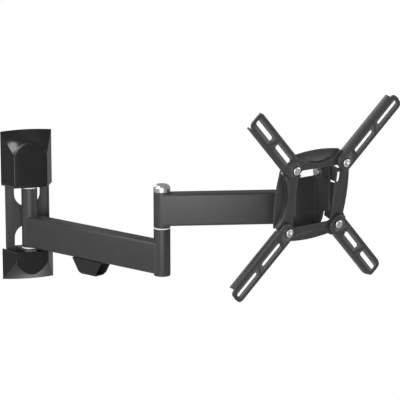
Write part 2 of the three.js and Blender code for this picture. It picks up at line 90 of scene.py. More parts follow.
# Heights count from the level halfway between the covers' ends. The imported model's origin, the middle
# of the wall plate's web, lies a little below it. The REST angles are how the mount stands at rest.
WEB_MIDDLE = -13.35
PIVOT_OUT, INNER_LENGTH, OUTER_LENGTH = 16, 213.5, 149.8
TILT_OUT, TILT_UP = 28, 73
HEAD_OFFSET, HEAD_HEIGHT = 47, 47.1
REST_SHOULDER, REST_OUTER, REST_HEAD, REST_TILT = 56, 11.1, 22.25, 9
WALL = shift(0, 0, -WEB_MIDDLE)
SHOULDER = WALL @ shift(0, -PIVOT_OUT, 0)
INNER = SHOULDER @ turn("z", -REST_SHOULDER)
ELBOW = INNER @ shift(INNER_LENGTH, 0, 0)
OUTER = ELBOW @ turn("z", REST_SHOULDER - REST_OUTER)
HEAD = OUTER @ shift(OUTER_LENGTH, 0, 0) @ turn("z", REST_OUTER + REST_HEAD)
TILT = HEAD @ shift(0, -TILT_OUT, TILT_UP) @ turn("x", REST_TILT)
ahead, below = HEAD_OFFSET - TILT_OUT, TILT_UP - HEAD_HEIGHT
lean = np.radians(REST_TILT)
FACE_AHEAD = ahead * np.cos(lean) + below * np.sin(lean)
FACE_BELOW = below * np.cos(lean) - ahead * np.sin(lean)
FACE = TILT @ shift(0, -FACE_AHEAD, -FACE_BELOW)
print("elbow axis at", np.round(ELBOW[:2, 3], 1), "head axis at", np.round(HEAD[:2, 3], 1))

# %% [markdown]
# ## Camera
# A long lens from far away keeps the upright edges nearly parallel, as a catalogue shows them.
# The camera stands to the left of the mount and a little above it.

# %% Camera
LENS, SENSOR = 198, 36
FAR_CLIP = 50
CAMERA_PLACE = (-521.4, -2583.9, 602.5)
CAMERA_AIM = (147.53, -254.15, 63.86)
camera = bpy.data.objects.new("camera", bpy.data.cameras.new("camera"))
bpy.context.collection.objects.link(camera)
camera.data.lens = LENS
camera.data.sensor_width = SENSOR
camera.data.clip_end = FAR_CLIP
aim = Vector(CAMERA_AIM) * MM
camera.location = Vector(CAMERA_PLACE) * MM
camera.rotation_mode = "QUATERNION"
camera.rotation_quaternion = (aim - camera.location).to_track_quat("-Z", "Y")
bpy.context.scene.camera = camera
bpy.context.scene.view_settings.view_transform = "Standard"
print("camera stands", round((aim - camera.location).length, 2), "m from the mount")

# %% [markdown]
# ## Studio
# Black metal shows mostly what it reflects. The backdrop that the camera sees is white, but the light
# of the room on the mount is dim and even, and soft lamps give the bright lines along the folds.

# %% Room
world = bpy.data.worlds.new("studio")
bpy.context.scene.world = world
world.use_nodes = True
room = world.node_tree
room.nodes.clear()
ROOM_LIGHT, BACKDROP = 0.30, 1.0
backgrounds = []
for strength in (ROOM_LIGHT, BACKDROP):
    background = room.nodes.new("ShaderNodeBackground")
    background.inputs["Color"].default_value = (1, 1, 1, 1)
    background.inputs["Strength"].default_value = strength
    backgrounds.append(background.outputs[0])
choose = room.nodes.new("ShaderNodeMixShader")
ray = room.nodes.new("ShaderNodeLightPath")
room.links.new(ray.outputs["Is Camera Ray"], choose.inputs[0])
room.links.new(backgrounds[0], choose.inputs[1])
room.links.new(backgrounds[1], choose.inputs[2])
room.links.new(choose.outputs[0], room.nodes.new("ShaderNodeOutputWorld").inputs[0])
print("room light", ROOM_LIGHT, "backdrop", BACKDROP)

# %% Lamps
MIDDLE = Vector((0.16, -0.16, 0.05))


def lamp(name, place, size, power):
    """A square soft lamp at a place, turned to the middle of the mount."""
    data = bpy.data.lights.new(name, "AREA")
    data.shape, data.size, data.energy = "SQUARE", size, power
    thing = bpy.data.objects.new(name, data)
    bpy.context.collection.objects.link(thing)
    thing.location = place
    thing.rotation_mode = "QUATERNION"
    thing.rotation_quaternion = (MIDDLE - Vector(place)).to_track_quat("-Z", "Y")


# Name, place and width in metres, power in watts.
LAMPS = [
    ("front_lamp", (-0.8, -2.8, 0.3), 1.8, 56),
    ("high_left_lamp", (-1.3, -0.35, 1.7), 0.9, 19),
    ("left_lamp", (-2.6, -0.3, 0.5), 0.7, 14),
    ("right_lamp", (2.4, -0.9, 0.4), 0.8, 14),
    ("back_lamp", (-0.6, 2.4, 1.4), 1.4, 14),
]
for name, place, size, power in LAMPS:
    lamp(name, place, size, power)
print(len(LAMPS), "lamps, the front one", LAMPS[0][2], "m across")

# %% Floor
FLOOR_DROP = 0.9
FLOOR_HALF = 1.5
floor_z = cad_box[0][2] - FLOOR_DROP
floor_mesh = bpy.data.meshes.new("floor")
corners = np.array([[-1, -1], [1, -1], [1, 1], [-1, 1]]) * FLOOR_HALF
floor_mesh.from_pydata([(x, y, floor_z) for x, y in corners], [], [(0, 1, 2, 3)])
floor = bpy.data.objects.new("floor", floor_mesh)
bpy.context.collection.objects.link(floor)
print("floor lies", FLOOR_DROP, "m under the mount")

# %% [markdown]
# ## Finishes
# Every finish is a principled shader fed by noise on object coordinates, so its grain has a real size
# and runs over a whole piece without a seam. One helper lays out what the finishes share: a soft
# blotchy change of colour, a fine grain in the gloss and the surface and, on powder coated and moulded
# pieces, a painted highlight: lighter edges that stand in for the light caught by rounded folds.

# %% A helper for finishes
NOISE_LOW, NOISE_HIGH = 0.3, 0.7      # the range that a noise mostly stays in
EDGE_FLAT, EDGE_HIGHLIGHT_FULL = 0.99, 0.80     # the two normals' product where the painted edge highlight begins and where it is full
BUMP_HEIGHT = 0.0002


def finish(name, dark, light, rough, grain, bump, metallic=0.0, edge_highlight=None, blotch=45.0, reach=0.0006):
    """A material: colour = dark to light by a slow noise, roughness = a range by a fine noise,
    surface = that fine noise as height. Edges, found where a normal rounded over the distance reach
    leaves the true one, take a lighter colour if one is given: a painted highlight along the folds."""
    material = bpy.data.materials.new(name)
    material.use_nodes = True
    nodes, links = material.node_tree.nodes, material.node_tree.links
    shader = nodes["Principled BSDF"]
    shader.inputs["Metallic"].default_value = metallic
    place = nodes.new("ShaderNodeTexCoord").outputs["Object"]

    def noise(scale, detail):
        made = nodes.new("ShaderNodeTexNoise")
        made.inputs["Scale"].default_value = scale
        made.inputs["Detail"].default_value = detail
        links.new(place, made.inputs["Vector"])
        return made.outputs["Fac"]

    slow, fine = noise(blotch, 4.0), noise(grain, 2.0)
    colour = nodes.new("ShaderNodeMix")
    colour.data_type = "RGBA"
    colour.inputs[6].default_value = (*dark, 1)
    colour.inputs[7].default_value = (*light, 1)
    links.new(slow, colour.inputs[0])
    last = colour.outputs[2]
    # A painted highlight: edges take a lighter colour in place of the light that real rounded folds
    # catch.
    if edge_highlight:
        soft = nodes.new("ShaderNodeBevel")
        soft.samples = 4
        soft.inputs["Radius"].default_value = reach
        true = nodes.new("ShaderNodeNewGeometry").outputs["True Normal"]
        match = nodes.new("ShaderNodeVectorMath")
        match.operation = "DOT_PRODUCT"
        links.new(soft.outputs["Normal"], match.inputs[0])
        links.new(true, match.inputs[1])
        edge = nodes.new("ShaderNodeMapRange")
        edge.inputs["From Min"].default_value = EDGE_FLAT
        edge.inputs["From Max"].default_value = EDGE_HIGHLIGHT_FULL
        links.new(match.outputs["Value"], edge.inputs["Value"])
        painted_highlight = nodes.new("ShaderNodeMix")
        painted_highlight.data_type = "RGBA"
        painted_highlight.inputs[7].default_value = (*edge_highlight, 1)
        links.new(edge.outputs["Result"], painted_highlight.inputs[0])
        links.new(last, painted_highlight.inputs[6])
        last = painted_highlight.outputs[2]
    links.new(last, shader.inputs["Base Color"])
    gloss = nodes.new("ShaderNodeMapRange")
    gloss.inputs["From Min"].default_value = NOISE_LOW
    gloss.inputs["From Max"].default_value = NOISE_HIGH
    gloss.inputs["To Min"].default_value, gloss.inputs["To Max"].default_value = rough
    links.new(fine, gloss.inputs["Value"])
    links.new(gloss.outputs["Result"], shader.inputs["Roughness"])
    height = nodes.new("ShaderNodeBump")
    height.inputs["Strength"].default_value = bump
    height.inputs["Distance"].default_value = BUMP_HEIGHT
    links.new(fine, height.inputs["Height"])
    links.new(height.outputs["Normal"], shader.inputs["Normal"])
    return material


print("a grain is at most", BUMP_HEIGHT * 1000, "mm high")

# %% [markdown]
# ## The six finishes
# Powder coat is dark, half matt and has the skin of an orange. The covers are a glossy moulded
# plastic, the cable holder a dull one. The elbow cap is chromed, most of the fasteners are zinc
# plated, and the washers and bushes at the pivots are white nylon.

# %% Make the finishes
# The lighter edge colours below are painted highlights along the pieces' edges.
FINISHES = {
    "powder_coat": finish("powder_coat", (0.026, 0.026, 0.028), (0.036, 0.036, 0.038), (0.38, 0.52),
                          1500.0, 0.30, edge_highlight=(0.105, 0.106, 0.110), reach=0.0008),
    "cover_gloss": finish("cover_gloss", (0.005, 0.005, 0.006), (0.008, 0.008, 0.009), (0.16, 0.24),
                          900.0, 0.06, edge_highlight=(0.015, 0.015, 0.016)),
    "holder_plastic": finish("holder_plastic", (0.003, 0.003, 0.0035), (0.006, 0.006, 0.007),
                             (0.55, 0.68), 2200.0, 0.25, edge_highlight=(0.02, 0.02, 0.021)),
    "chrome": finish("chrome", (0.72, 0.73, 0.74), (0.80, 0.81, 0.82), (0.28, 0.34), 5000.0, 0.005,
                     metallic=1.0),
    "zinc": finish("zinc", (0.62, 0.63, 0.64), (0.74, 0.75, 0.76), (0.36, 0.46), 2500.0, 0.06,
                   metallic=1.0, blotch=300.0),
    "nylon": finish("nylon", (0.74, 0.73, 0.70), (0.84, 0.83, 0.81), (0.40, 0.55), 800.0, 0.10),
}
pale = finish("floor_paint", (0.74, 0.74, 0.73), (0.80, 0.80, 0.79), (0.5, 0.7), 60.0, 0.1, blotch=1.5)
floor_mesh.materials.append(pale)
print("finishes:", ", ".join(FINISHES))

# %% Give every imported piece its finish
slot_of, body_of = {}, {}
for part in frame["record"]["subparts"]:
    node = part["node"]
    slot_of[node] = part["material_slot"]
    mesh = frame["nodes"][node].data
    mesh.materials.clear()
    mesh.materials.append(FINISHES[slot_of[node]])
for body, members in frame["record"]["behaviour"]["bodies"].items():
    body_of.update({node: body for node in members})
print(len(slot_of), "packed pieces have a finish")

# %% [markdown]
# ## From arrays to a piece
# A new surface is an array of points and an array of four cornered faces. The next helpers number the
# faces of a grid, join several surfaces, turn a closed one right side out, and put the result in
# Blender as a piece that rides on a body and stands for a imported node.

# %% Grids
def grid(rows, columns, wrap_rows=False, wrap_columns=False):
    """Faces of a grid of points: face (i, j) joins points (i, j), (i, j+1), (i+1, j+1), (i+1, j)."""
    i = np.arange(rows if wrap_rows else rows - 1)[:, None]
    j = np.arange(columns if wrap_columns else columns - 1)[None, :]
    below, beside = (i + 1) % rows, (j + 1) % columns
    first = i * columns
    return np.stack([first + j, first + beside, below * columns + beside, below * columns + j],
                    axis=-1).reshape(-1, 4)


def joined(*surfaces):
    """Several (points, faces) as one: each later surface's faces count on from the points before."""
    points, faces, start = [], [], 0
    for more_points, more_faces in surfaces:
        points.append(np.asarray(more_points, float).reshape(-1, 3))
        faces.append(more_faces + start)
        start += len(points[-1])
    return np.concatenate(points), np.concatenate(faces)


def placed(surface, matrix):
    """A surface carried by a frame: each point p becomes R p + t."""
    points, faces = surface
    points = np.asarray(points, float).reshape(-1, 3)
    return points @ matrix[:3, :3].T + matrix[:3, 3], faces


print("a closed ring of 12 by 4 points has", len(grid(12, 4, True, True)), "faces")

# %% From a surface to a mesh
MERGE = 0.02 * MM       # points closer than this are one point


def mesh_from(name, surface, closed=True):
    """A mesh in metres from a surface in millimetres, its doubled points merged and, if it is a
    closed one, its faces turned to point outwards."""
    points, faces = surface
    mesh = bpy.data.meshes.new(name)
    mesh.from_pydata((np.asarray(points).reshape(-1, 3) * MM).tolist(), [], faces.tolist())
    work = bmesh.new()
    work.from_mesh(mesh)
    bmesh.ops.remove_doubles(work, verts=work.verts, dist=MERGE)
    bmesh.ops.dissolve_degenerate(work, edges=work.edges, dist=MERGE / 4)
    if closed:
        bmesh.ops.recalc_face_normals(work, faces=work.faces)
    work.to_mesh(mesh)
    work.free()
    return mesh


print("points merge within", round(MERGE / MM, 3), "mm")

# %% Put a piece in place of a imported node
SHARP, ROUND_STEPS = 32, 2      # degrees above which an edge is rounded, and the rounding's faces


def add_piece(name, mesh, node, smooth=35, wall=0, even=True, edge=0):
    """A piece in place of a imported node: it rides on the node's body and takes its finish. smooth is
    the angle above which an edge stays sharp. wall is a thickness to add inwards, the same measured
    across every face if even, and edge a rounding of the sharp edges, in millimetres."""
    thing = bpy.data.objects.new(name, mesh)
    bpy.context.collection.objects.link(thing)
    mesh.materials.clear()
    mesh.materials.append(FINISHES[slot_of[node]])
    mesh.polygons.foreach_set("use_smooth", np.ones(len(mesh.polygons), bool))
    mesh.set_sharp_from_angle(angle=np.radians(smooth))
    if wall:
        shell = thing.modifiers.new("wall", "SOLIDIFY")
        shell.thickness, shell.offset = wall * MM, -1
        shell.use_even_offset = even
    if edge:
        rounding = thing.modifiers.new("edge", "BEVEL")
        rounding.width, rounding.segments = edge * MM, ROUND_STEPS
        rounding.limit_method, rounding.angle_limit = "ANGLE", np.radians(SHARP)
        rounding.harden_normals = True
    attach(thing, body_of[node])
    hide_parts(node)
    print(name, len(mesh.polygons), "faces on", body_of[node])


# %% [markdown]
# ## Folded and pressed sheet
# The wall plate, the head bracket, the head plate and the cable holder have the right shape in the
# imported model, but their folds are razor sharp. A copy has its loose triangles merged and its edges
# rounded a little, because only a rounded edge catches the light as a real fold does. Blender holds
# a whole piece's rounding back to what its smallest face allows, so that rounded edges don't overlap.

# %% Copies with rounded edges
FLAT = 0.5              # degrees within which two triangles are one face


def softened(node, edge):
    """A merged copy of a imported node, its triangles joined where they lie flat, with rounded edges."""
    mesh = frame["nodes"][node].data.copy()
    work = bmesh.new()
    work.from_mesh(mesh)
    bmesh.ops.remove_doubles(work, verts=work.verts, dist=MERGE)
    bmesh.ops.dissolve_limit(work, angle_limit=np.radians(FLAT), verts=work.verts, edges=work.edges)
    work.to_mesh(mesh)
    work.free()
    add_piece(node + "_finished", mesh, node, edge=edge)


EDGES = {"wall_plate": 0.5, "head_bracket": 0.6, "cable_holder": 0.8, "vesa_plate": 1.2}
for node, edge in EDGES.items():
    softened(node, edge)

# %% [markdown]
# ## Turned pieces
# Tubes, washers and the chrome cap are all round. Each is a profile in (radius, height) carried round
# its axis; a small curve replaces each corner of the profile, so that the rims are broken as on the
# real pieces.

# %% Profiles carried round an axis
SIDE_SHARE = 0.45       # the most of a side that one corner's curve may take
SIDES = 72              # faces round a turned piece


def rounded(points, radius, steps=4, closed=True):
    """An outline with each corner replaced by an arc-like curve: from the point that lies radius
    before the corner to the point radius after it, p = (1-t)^2 a + 2t(1-t) corner + t^2 b. An open
    outline keeps its first and last point."""
    points = np.asarray(points, float)
    before, after = np.roll(points, 1, axis=0), np.roll(points, -1, axis=0)
    radius = np.broadcast_to(radius, len(points))[:, None]

    def toward(other):
        line = other - points
        length = np.linalg.norm(line, axis=1, keepdims=True)
        return points + line / length * np.minimum(radius, SIDE_SHARE * length)

    a, b = toward(before), toward(after)
    t = np.linspace(0, 1, steps + 1)[None, :, None]
    curve = (1 - t) ** 2 * a[:, None] + 2 * t * (1 - t) * points[:, None] + t ** 2 * b[:, None]
    if not closed:
        curve[0], curve[-1] = points[0], points[-1]
    return curve.reshape(-1, 2)


def lathe(profile, closed=True):
    """A profile of (r, z) carried round Z: point = (r cos a, r sin a, z)."""
    angle = np.linspace(0, 2 * np.pi, SIDES, endpoint=False)[None, :]
    r, z = profile[:, 0][:, None], profile[:, 1][:, None]
    points = np.stack([r * np.cos(angle), r * np.sin(angle), z + 0 * angle], axis=-1)
    return points.reshape(-1, 3), grid(len(profile), SIDES, wrap_rows=closed, wrap_columns=True)


def tube(outer, bore, bottom, top, rim=0.5):
    """A pipe: the four corners of its wall, rounded, carried round the axis."""
    wall = [(bore, bottom), (outer, bottom), (outer, top), (bore, top)]
    return lathe(rounded(wall, rim))


print("a tube has", len(tube(2, 1, 0, 4)[1]), "faces")

# %% [markdown]
# ## The moulded covers
# A cover hides the screws in the wall. It is a thin shell with sloping sides, and its flat front ends
# in a low arch. The shell is ruled: straight lines join its outline on the wall to the outline of the
# front, and a short curve rounds the edge between them. One half is worked out and mirrored, and a
# Solidify modifier gives the shell its thickness.

# %% Outlines of a cover
# Half widths on the wall and of the front, and how far the front stands off the wall.
COVER_HALF, COVER_FACE, COVER_DEEP = 31.5, 20.5, 26
# Heights of the end on the wall, of the front's end on the middle line, and where its arch springs.
COVER_END, COVER_CROWN, COVER_SPRING = 92, 82.5, 67
UPPER_CUT, LOWER_CUT = 26, 53.6     # where the covers stop, above and below the arm
END_ARCH = 1.5          # how far the end on the wall is arched
TWIST = 0.85            # below 1, the outline on the wall leaves its corner sooner than the front's
# The lip's height, its gap to the wall, the thickness, and the rounding of the front's edge.
COVER_LIP, COVER_CLEAR, COVER_SHEET, COVER_ROUND = 0.8, 0.15, 2, 1.3


def cover_outlines(edge):
    """Half a cover, from its cut edge up to its middle line, as three matching rows of points: on
    the wall, on the edge of the front, and on the front's middle line. The front's arch is a
    parabola, z = spring + (crown - spring)(1 - (x / half)^2), and the end on the wall is a lower
    one."""
    side = np.linspace(edge, COVER_SPRING, 12)
    rise = np.linspace(COVER_SPRING, COVER_END, 6)[1:]
    s = np.linspace(0, 1, 25)[1:]
    x_face = -COVER_FACE * (1 - s)
    x_wall = -COVER_HALF * (1 - s ** TWIST)
    z_face = COVER_SPRING + (COVER_CROWN - COVER_SPRING) * (1 - (x_face / COVER_FACE) ** 2)
    z_wall = COVER_END + END_ARCH * (1 - (x_wall / COVER_HALF) ** 2)
    straight = len(side) + len(rise)
    wall = np.stack([np.r_[np.full(straight, -COVER_HALF), x_wall],
                     np.full(straight + len(s), -COVER_CLEAR), np.r_[side, rise, z_wall]], axis=1)
    front_z = np.r_[side, np.full(len(rise), COVER_SPRING), z_face]
    front = np.stack([np.r_[np.full(straight, -COVER_FACE), x_face],
                      np.full(len(wall), -COVER_DEEP), front_z], axis=1)
    middle = front * [0, 1, 1]
    middle[:, 2] = np.minimum(middle[:, 2], COVER_SPRING)
    return wall, front, middle


print("half a cover's outline has", len(cover_outlines(UPPER_CUT)[0]), "points")


# %% Surface of a cover
def cover_surface(edge, up):
    """Rows from the wall to the front's middle: a short lip square to the wall, straight to the
    edge, round it by a quadratic curve, straight on. Then the mirrored half, x to -x. up is 1, or -1
    for the lower cover."""
    wall, front, middle = cover_outlines(edge)
    mirror = np.array([-1, 1, 1])
    wall, front, middle = (np.concatenate([row, row[-2::-1] * mirror]) for row in (wall, front, middle))

    def near(other):
        line = other - front
        length = np.linalg.norm(line, axis=1, keepdims=True)
        return front + line / np.maximum(length, 1e-6) * np.minimum(COVER_ROUND, SIDE_SHARE * length)

    start, stop = near(wall), near(middle)
    t = np.linspace(0, 1, 6)[:, None, None]
    bend = (1 - t) ** 2 * start + 2 * t * (1 - t) * front + t ** 2 * stop
    lip = wall - [0, COVER_LIP, 0]
    # The slope's rows stop at nine tenths of it, because the bend brings its own first row.
    slope = lip + np.linspace(0, 0.9, 5)[:, None, None] * (start - lip)
    inward = stop + np.array([0.5, 1.0])[:, None, None] * (middle - stop)
    points = np.concatenate([wall[None], slope, bend, inward])
    faces = grid(points.shape[0], points.shape[1])
    return (points * [1, 1, up]).reshape(-1, 3), faces if up < 0 else faces[:, ::-1]


# %% Make both covers
for node, edge, up in (("upper_cover", UPPER_CUT, 1), ("lower_cover", LOWER_CUT, -1)):
    shell = mesh_from(node, placed(cover_surface(edge, up), WALL), closed=False)
    add_piece(node + "_shell", shell, node, smooth=17, wall=COVER_SHEET)

# %% [markdown]
# ## The two arms
# Each arm is a rectangular steel tube welded between two upright pivot tubes. The arm is its rounded
# section carried along X, drawn in a little at both ends. A weld bead runs round each joint: a small
# circle carried along the seam, its size swelling and shrinking as the torch stops and goes.

# %% The arm's section
TUBE_RADIUS, TUBE_BORE = 9.75, 7.2
ARM_HALF_WIDTH, ARM_HALF_HEIGHT, ARM_CORNER = 10, 18.9, 3
END_ROUND, END_SOFT = 0.6, 0.15     # how far an end is rounded, and that curve's middle point


def rounded_box_outline(half_x, half_y, radius, steps=8):
    """A rectangle's outline with quarter circles: corner centre + radius (cos a, sin a)."""
    angle = (np.arange(4)[:, None] * 90 + np.linspace(0, 90, steps + 1)[None, :]) * np.pi / 180
    sign_x, sign_y = np.array([1, -1, -1, 1])[:, None], np.array([1, 1, -1, -1])[:, None]
    x = sign_x * (half_x - radius) + radius * np.cos(angle)
    y = sign_y * (half_y - radius) + radius * np.sin(angle)
    return np.stack([x.ravel(), y.ravel()], axis=1)


def box_tube(start, end, middle):
    """The arm's section carried from start to end along X. Each station is the section drawn in by
    an inset, point = p - sign(p) min(|p|, inset), and the last inset closes an end on its middle
    line."""
    off = np.array([0, 0, END_SOFT, END_ROUND])
    stations = np.concatenate([start + off, end - off[::-1]])
    inset = np.array([ARM_HALF_WIDTH, END_ROUND, END_SOFT, 0])
    inset = np.concatenate([inset, inset[::-1]])
    section = rounded_box_outline(ARM_HALF_WIDTH, ARM_HALF_HEIGHT, ARM_CORNER)
    away = np.sign(section) * np.minimum(np.abs(section), inset[:, None, None])
    shrunk = section[None] - away
    x = np.broadcast_to(stations[:, None], shrunk.shape[:2])
    points = np.stack([x, shrunk[..., 0], shrunk[..., 1] + middle], axis=-1)
    return points.reshape(-1, 3), grid(len(stations), len(section), wrap_columns=True)


print("an arm between its tubes has", len(box_tube(0, INNER_LENGTH, 0)[1]), "faces")

# %% Weld beads
WELD_RADIUS, WELD_SIDES = 0.3, 10
RIPPLES = ((0.12, 2.1), (0.05, 5.3))    # each wave's share of the radius, and its turn at each step
SEAM_STEPS, SEAM_LEAST = 220, 3.0
SUNK_WIDE, SUNK_HIGH = 0.2, 0.1         # how far the bead's middle lies inside the arm's section


def weld(path, radius):
    """A bead: a circle of a rippling radius carried along a closed path of points, standing on the
    path's two cross directions: p + r (n cos a + b sin a). The ripple is a sum of sine waves."""
    along = np.roll(path, -1, axis=0) - np.roll(path, 1, axis=0)
    along /= np.linalg.norm(along, axis=1, keepdims=True)
    outward = path - path.mean(axis=0)
    across = np.cross(along, outward)
    across /= np.linalg.norm(across, axis=1, keepdims=True)
    normal = np.cross(across, along)
    step = np.arange(len(path))
    swell = radius * (1 + sum(share * np.sin(step * rate) for share, rate in RIPPLES))[:, None, None]
    angle = np.linspace(0, 2 * np.pi, WELD_SIDES, endpoint=False)[None, :, None]
    points = path[:, None] + swell * (normal[:, None] * np.cos(angle) + across[:, None] * np.sin(angle))
    return points.reshape(-1, 3), grid(len(path), WELD_SIDES, wrap_rows=True, wrap_columns=True)


def seam(pivot, side, middle):
    """The line where an arm's section meets a pivot tube: x = pivot + side sqrt(R^2 - y^2), with y
    and z running round the section in even steps. Where the section is as wide as the tube, the
    root is kept at its least value."""
    section = rounded_box_outline(ARM_HALF_WIDTH - SUNK_WIDE, ARM_HALF_HEIGHT - SUNK_HIGH, ARM_CORNER,
                                  steps=10)
    turns = np.concatenate([section, section[:1]])
    length = np.concatenate([[0], np.cumsum(np.linalg.norm(np.diff(turns, axis=0), axis=1))])
    even = np.linspace(0, length[-1], SEAM_STEPS, endpoint=False)
    y = np.interp(even, length, turns[:, 0])
    z = np.interp(even, length, turns[:, 1])
    x = pivot + side * np.sqrt(np.maximum(TUBE_RADIUS ** 2 - y ** 2, SEAM_LEAST ** 2))
    return np.stack([x, y, z + middle], axis=1)


def arm_surface(length, middle, near, far):
    """Two pivot tubes, the arm between them, and a weld bead round each end."""
    return joined(
        tube(TUBE_RADIUS, TUBE_BORE, *near),
        placed(tube(TUBE_RADIUS, TUBE_BORE, *far), shift(length, 0, 0)),
        box_tube(0, length, middle),
        weld(seam(0, 1, middle), WELD_RADIUS),
        weld(seam(length, -1, middle), WELD_RADIUS))


print("a weld bead has", len(weld(seam(0, 1, 0), WELD_RADIUS)[1]), "faces")

# %% Make both arms
# Heights of the arms' middles, and of the tubes' bottoms and tops.
INNER_MIDDLE, SHOULDER_TUBE, LOWER_ELBOW_TUBE = -29.1, (-48.6, 24), (-50, 5.5)
OUTER_MIDDLE, OUTER_TUBE = 28.7, (7.5, 49)
inner_surface = arm_surface(INNER_LENGTH, INNER_MIDDLE, SHOULDER_TUBE, LOWER_ELBOW_TUBE)
outer_surface = arm_surface(OUTER_LENGTH, OUTER_MIDDLE, OUTER_TUBE, OUTER_TUBE)
add_piece("inner_arm_steel", mesh_from("inner_arm_steel", placed(inner_surface, INNER)), "inner_arm")
add_piece("outer_arm_steel", mesh_from("outer_arm_steel", placed(outer_surface, OUTER)), "outer_arm")

# %% [markdown]
# ## Washers and the chrome cap
# White nylon washers part the tubes, and the elbow ends in a chromed cap with a chamfer and a low
# dome. Blender's own cylinder could start both, but a profile carried round the axis brings its
# broken rims and its dome with it.

# %% Washers
SPACER, BOLT_BORE = 1.4, 5.35
GAP = 0.3               # the play between a washer, or the cap, and its tube
washers = {
    "shoulder_spacer_top": (INNER, SHOULDER_TUBE[1] + GAP),
    "shoulder_spacer_bottom": (INNER, SHOULDER_TUBE[0] - GAP - SPACER),
    "elbow_spacer": (ELBOW, LOWER_ELBOW_TUBE[1] + GAP),
    "head_spacer_top": (HEAD, OUTER_TUBE[1] + GAP),
    "head_spacer_bottom": (HEAD, OUTER_TUBE[0] - GAP - SPACER),
}
for node, (place, bottom) in washers.items():
    surface = placed(tube(TUBE_RADIUS - 0.1, BOLT_BORE, bottom, bottom + SPACER, rim=0.35), place)
    add_piece(node + "_nylon", mesh_from(node, surface), node)

# %% Cap
# The profile runs from the hollow for the bolt's end, under the skirt, up the side and over the
# chamfer. The dome then closes it: height = base + rise sin(a), while the radius falls evenly to 0.
CAP_BASE = OUTER_TUBE[1] + GAP
HOLLOW_RADIUS, HOLLOW_TOP = 5.5, 3
CHAMFER_BASE, CHAMFER_TOP, CHAMFER_RADIUS = 5.2, 7.4, 8.3
DOME_BASE, DOME_RISE, DOME_RADIUS = 8.3, 0.9, 6.9
skirt = [(0, HOLLOW_TOP), (HOLLOW_RADIUS, HOLLOW_TOP), (HOLLOW_RADIUS, 0), (TUBE_RADIUS, 0),
         (TUBE_RADIUS, CHAMFER_BASE), (CHAMFER_RADIUS, CHAMFER_TOP)]
corner_sizes = [0, 0.2, 0.2, 0.4, 0.7, 0.5]
share = np.linspace(0, 1, 14)
dome = np.stack([DOME_RADIUS * (1 - share), DOME_BASE + DOME_RISE * np.sin(share * np.pi / 2)],
                axis=1)
cap = np.concatenate([rounded(skirt, corner_sizes, closed=False), dome])
cap[:, 1] += CAP_BASE
add_piece("elbow_cap_chrome", mesh_from("elbow_cap", placed(lathe(cap, closed=False), ELBOW)),
          "elbow_cap", smooth=50)

# %% [markdown]
# ## The extension arms
# Each arm is a strip of sheet with two slots and a screw hole, folded back along its sides and round
# its inner end. Half of it is a grid: the columns follow the strip's outline, and the rows run from
# the middle line, or from the edge of a slot where there is one, out to the fold and down the flange.
# The other half mirrors it, and a thickness is added behind.

# %% Outline, slots and folds of an extension arm
# Places along an arm count from the head plate's middle. The flange is shallow where the arm lies on
# the plate. A television's hole pattern is a square, so a place on its diagonal is root 2 times half
# its side.
STRUT_HALF, STRUT_START, STRUT_END, STRUT_CORNER = 11.5, 44.5, 152.5, 7
SHALLOW_END, FLANGE_END = 61, 145
SHALLOW, DEEP, FOLD, SHEET = 4.6, 8.5, 2.3, 1.8
SIDE_START, SIDE_END = STRUT_START + STRUT_CORNER, STRUT_END - STRUT_CORNER
# Each hole is a start, an end and a radius: the screw's round hole, a little wider than its head, and
# the two slots.
SCREW_AT, SCREW_RING, SLOT_RADIUS = 37.5 * np.sqrt(2), 5.9, 2.8
SLOTS = ((51, 70), (81.5, 102))
HOLES = [(SCREW_AT, SCREW_AT, SCREW_RING)]
HOLES += [(np.sqrt(2) * start, np.sqrt(2) * stop, SLOT_RADIUS) for start, stop in SLOTS]
HOLES_START, HOLES_END = SCREW_AT - SCREW_RING, HOLES[-1][1] + SLOT_RADIUS
NO_WIDTH = 0.05         # a hole narrower than this counts as closed


def slot_edge(s):
    """Half width of the hole at s along the strip: sqrt(r^2 - d^2), where d is how far s lies
    outside the slot's straight part, and 0 where there is no hole."""
    width = np.zeros_like(s)
    for start, stop, radius in HOLES:
        outside = np.maximum(np.maximum(start - s, s - stop), 0)
        width = np.maximum(width, np.sqrt(np.maximum(radius ** 2 - outside ** 2, 0)))
    return np.where(width < NO_WIDTH, 0, width)


print("holes along an extension arm:", np.round(HOLES, 1).tolist())

# %% One half of an extension arm
END_COLUMNS = 9         # columns round each end of the strip: a quarter circle and the tip
STEP = 0.03             # half the gap between the two columns of a step in the flange
FLAT_SHARE = 0.35       # past the flange's end, how far across the fold's width the flat sheet reaches
CORE_START, CORE_END = STRUT_START + FOLD + 0.1, STRUT_END - 1.2    # of the row on the middle line


def middle_stations():
    """Places along the strip's middle line: close together round the ends of the holes, and in a
    pair at each place where the flange's depth changes, so that the change is a clean step."""
    quarter = np.linspace(0, np.pi / 2, 8)
    steps = np.array([[SHALLOW_END], [FLANGE_END]]) + [-STEP, STEP]
    share = (steps.ravel() - SIDE_START) / (SIDE_END - SIDE_START)
    parts = [HOLES_START + share * (HOLES_END - HOLES_START)]
    for start, stop, radius in HOLES:
        parts += [start - radius * np.cos(quarter), stop + radius * np.sin(quarter)]
    return np.unique(np.round(np.concatenate(parts), 4))


